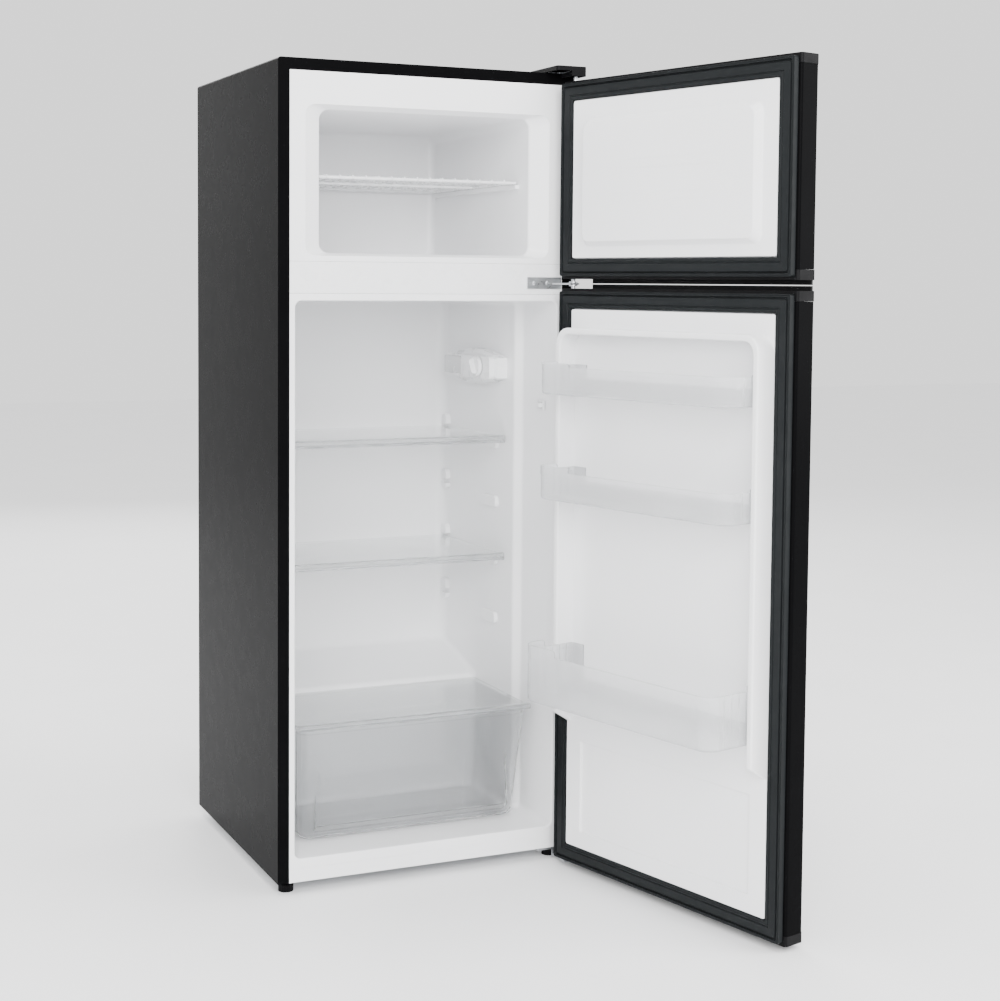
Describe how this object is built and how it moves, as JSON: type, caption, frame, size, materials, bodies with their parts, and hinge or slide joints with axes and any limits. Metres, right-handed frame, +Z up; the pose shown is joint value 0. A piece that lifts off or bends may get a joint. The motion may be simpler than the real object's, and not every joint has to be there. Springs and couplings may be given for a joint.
{
  "type": "top freezer refrigerator",
  "caption": "Upright refrigerator with a small freezer above and a fridge below, hinged on the right, with glass shelves, a crisper and door bins.",
  "frame": {"origin": "middle of the cabinet's flat underside; the feet reach 20 mm below it", "axes": "+Z up, front facing -Y, +X to the right of a person who faces the front; the hinges are on the right"},
  "size_m": [0.6848, 1.0604, 1.4123],
  "materials": {
    "shell_paint": "satin black baked paint",
    "door_paint": "satin black baked paint",
    "white_liner": "glossy white vacuum-formed sheet",
    "white_trim": "glossy white moulding",
    "clear_plastic": "clear moulded polystyrene",
    "shelf_glass": "polished toughened glass",
    "bulb_glass": "frosted",
    "gasket_rubber": "matt soft vinyl",
    "black_plastic": "fine grained",
    "zinc_steel": "zinc plated",
    "galvanised": "galvanised sheet",
    "white_wire": "powder-coated wire",
    "copper_tube": "bare drawn tube",
    "evaporator_metal": "mill finish",
    "compressor_black": "black enamel"
  },
  "bodies": {
    "cabinet": {"outer_shell": "shell_paint", "fridge_liner": "white_liner", "freezer_liner": "white_liner", "divider_cover": "white_trim", "divider_plug_left": "white_trim", "divider_plug_right": "white_trim", "base_panel": "galvanised", "front_crossmember": "galvanised", "rear_panel": "shell_paint", "cord_gland": "black_plastic", "compressor_tray": "galvanised", "compressor": "compressor_black", "terminal_box": "black_plastic", "drain_pan": "black_plastic", "filter_drier": "copper_tube", "discharge_pipe": "copper_tube", "condenser_left": "copper_tube", "condenser_right": "copper_tube", "freezer_evaporator": "evaporator_metal", "cold_plate": "evaporator_metal", "top_hinge_bracket": "zinc_steel", "top_hinge_cover": "black_plastic", "middle_hinge_bracket": "zinc_steel", "middle_hinge_screw_1": "zinc_steel", "middle_hinge_screw_2": "zinc_steel", "bottom_hinge_bracket": "zinc_steel", "thermostat_housing": "white_trim", "lamp_lens": "clear_plastic", "lamp_bulb": "bulb_glass", "door_switch_housing": "white_trim", "roller_bracket_left": "zinc_steel", "roller_bracket_right": "zinc_steel"},
    "freezer_door": {"freezer_door_skin": "door_paint", "freezer_door_top_cap": "black_plastic", "freezer_door_bottom_cap": "black_plastic", "freezer_door_liner": "white_liner", "freezer_door_gasket": "gasket_rubber"},
    "fridge_door": {"fridge_door_skin": "door_paint", "fridge_door_top_cap": "black_plastic", "fridge_door_bottom_cap": "black_plastic", "fridge_door_liner": "white_liner", "fridge_door_gasket": "gasket_rubber"},
    "upper_bin": {"upper_door_bin": "clear_plastic"},
    "middle_bin": {"middle_door_bin": "clear_plastic"},
    "bottle_bin": {"bottle_bin": "clear_plastic"},
    "upper_shelf": {"upper_shelf_glass": "shelf_glass", "upper_shelf_trim": "clear_plastic"},
    "lower_shelf": {"lower_shelf_glass": "shelf_glass", "lower_shelf_trim": "clear_plastic"},
    "crisper_cover": {"crisper_cover_glass": "shelf_glass", "crisper_cover_trim": "clear_plastic"},
    "crisper": {"crisper_drawer": "clear_plastic"},
    "wire_shelf": {"freezer_wire_shelf": "white_wire"},
    "thermostat_dial": {"thermostat_knob": "white_trim"},
    "door_switch": {"door_switch_button": "white_trim"},
    "foot_left": {"front_foot_left": "black_plastic"},
    "foot_right": {"front_foot_right": "black_plastic"},
    "roller_left": {"rear_roller_left": "black_plastic"},
    "roller_right": {"rear_roller_right": "black_plastic"}
  },
  "joints": [
    {"name": "freezer_door_swing", "type": "hinge", "parent": "cabinet", "child": "freezer_door", "pos_m": [0.2605, -0.278, 1.19], "axis": [0, 0, 1], "range_deg": [-104, 16]},
    {"name": "fridge_door_swing", "type": "hinge", "parent": "cabinet", "child": "fridge_door", "pos_m": [0.2605, -0.278, 0.5], "axis": [0, 0, 1], "range_deg": [-104, 16]},
    {"name": "upper_bin_lift", "type": "slide", "parent": "fridge_door", "child": "upper_bin", "axis": [0, 0, 1], "range_m": [0, 0.03]},
    {"name": "middle_bin_lift", "type": "slide", "parent": "fridge_door", "child": "middle_bin", "axis": [0, 0, 1], "range_m": [0, 0.03]},
    {"name": "bottle_bin_lift", "type": "slide", "parent": "fridge_door", "child": "bottle_bin", "axis": [0, 0, 1], "range_m": [0, 0.03]},
    {"name": "upper_shelf_slide", "type": "slide", "parent": "cabinet", "child": "upper_shelf", "axis": [0, -1, 0], "range_m": [0, 0.2]},
    {"name": "lower_shelf_slide", "type": "slide", "parent": "cabinet", "child": "lower_shelf", "axis": [0, -1, 0], "range_m": [0, 0.2]},
    {"name": "crisper_cover_slide", "type": "slide", "parent": "cabinet", "child": "crisper_cover", "axis": [0, -1, 0], "range_m": [0, 0.12]},
    {"name": "crisper_slide", "type": "slide", "parent": "cabinet", "child": "crisper", "axis": [0, -1, 0], "range_m": [0, 0.21]},
    {"name": "wire_shelf_slide", "type": "slide", "parent": "cabinet", "child": "wire_shelf", "axis": [0, -1, 0], "range_m": [0, 0.2]},
    {"name": "thermostat_turn", "type": "hinge", "parent": "cabinet", "child": "thermostat_dial", "pos_m": [0.1874, -0.034, 0.86], "axis": [1, 0, 0], "range_deg": [-150, 150]},
    {"name": "door_switch_press", "type": "slide", "parent": "cabinet", "child": "door_switch", "axis": [1, 0, 0], "range_m": [0, 0.004], "stiffness_N_per_m": 200},
    {"name": "foot_left_turn", "type": "hinge", "parent": "cabinet", "child": "foot_left", "pos_m": [-0.25, -0.224, -0.01], "axis": [0, 0, 1], "continuous": true},
    {"name": "foot_right_turn", "type": "hinge", "parent": "cabinet", "child": "foot_right", "pos_m": [0.25, -0.224, -0.01], "axis": [0, 0, 1], "continuous": true},
    {"name": "roller_left_spin", "type": "hinge", "parent": "cabinet", "child": "roller_left", "pos_m": [-0.232, 0.212, -0.0105], "axis": [1, 0, 0], "continuous": true},
    {"name": "roller_right_spin", "type": "hinge", "parent": "cabinet", "child": "roller_right", "pos_m": [0.232, 0.212, -0.0105], "axis": [1, 0, 0], "continuous": true}
  ]
}
